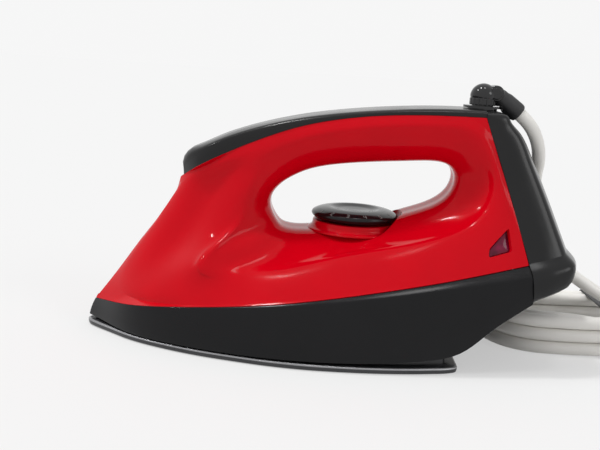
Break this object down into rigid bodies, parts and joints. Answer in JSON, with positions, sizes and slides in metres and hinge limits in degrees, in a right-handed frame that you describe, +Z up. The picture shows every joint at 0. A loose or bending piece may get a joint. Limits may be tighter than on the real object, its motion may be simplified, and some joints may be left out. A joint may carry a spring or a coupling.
{
  "type": "dry iron",
  "caption": "Corded dry iron with a pointed soleplate, closed handle, round temperature dial, rear swivel cord entry and a folded cord with plug.",
  "frame": {"origin": "centre of the iron in plan, on the flat face of the soleplate", "axes": "+X from the tip to the heel, +Z up, +Y to the far side seen with the tip on the left"},
  "size_m": [0.3469, 0.1323, 0.1355],
  "materials": {
    "sole": "dark coated plate, satin",
    "steel": "bright zinc-plated steel",
    "plate": "thin bright sheet",
    "tube": "dull heat-tinted tube",
    "skirt": "smooth black",
    "red": "high gloss red",
    "cap": "satin dark grey",
    "dial": "black with pale marks",
    "ceramic": "unglazed ceramic",
    "brass": "plain brass",
    "copper": "spring bronze",
    "brown": "brown insulation",
    "blue": "blue insulation",
    "green": "green and yellow insulation",
    "clear": "pale thin insulation",
    "neon": "clear glass with an orange glow",
    "white": "white moulding",
    "lens": "dark red translucent",
    "black": "black moulding",
    "guard": "matte black rubber",
    "cord": "smooth off-white sheath"
  },
  "bodies": {
    "housing": {"soleplate": "sole", "heating_element": "tube", "element_terminals": "steel", "heat_shield": "plate", "sole_studs": "steel", "stud_spacers": "steel", "stud_nuts": "steel", "skirt": "skirt", "body_shell": "red", "body_screws": "steel", "handle_cap": "cap", "rear_cover": "cap", "rear_cover_screw": "steel", "thermostat_frame": "plate", "thermostat_rivet": "steel", "ceramic_washers": "ceramic", "bimetal_strip": "steel", "lower_contact_blade": "copper", "upper_contact_blade": "copper", "contact_rivets": "steel", "thermal_fuse": "steel", "terminal_block": "ceramic", "terminal_screws": "brass", "live_lead": "brown", "neutral_lead": "blue", "earth_lead": "green", "lamp_lead": "clear", "indicator_lamp": "neon", "lamp_holder": "white", "lamp_lens": "lens", "cord_clamp": "white", "clamp_screws": "steel", "inner_cord": "cord", "swivel_collar": "black", "power_cord": "cord", "cord_hank": "cord", "hank_tie": "black", "plug_tail": "cord", "plug_body": "cord", "plug_pins": "brass"},
    "dial": {"temperature_dial": "dial", "dial_retainer": "steel", "adjusting_screw": "brass"},
    "swivel": {"cord_swivel": "black", "cord_guard": "guard"}
  },
  "joints": [
    {"name": "dial_turn", "type": "hinge", "parent": "housing", "child": "dial", "pos_m": [0.012, 0, 0.0633], "axis": [0, 0, 1], "range_deg": [0, 270]},
    {"name": "cord_swing", "type": "hinge", "parent": "housing", "child": "swivel", "pos_m": [0.0715, 0, 0.125], "axis": [0, 0, 1], "range_deg": [-25, 25], "deforming": ["power_cord"]}
  ]
}
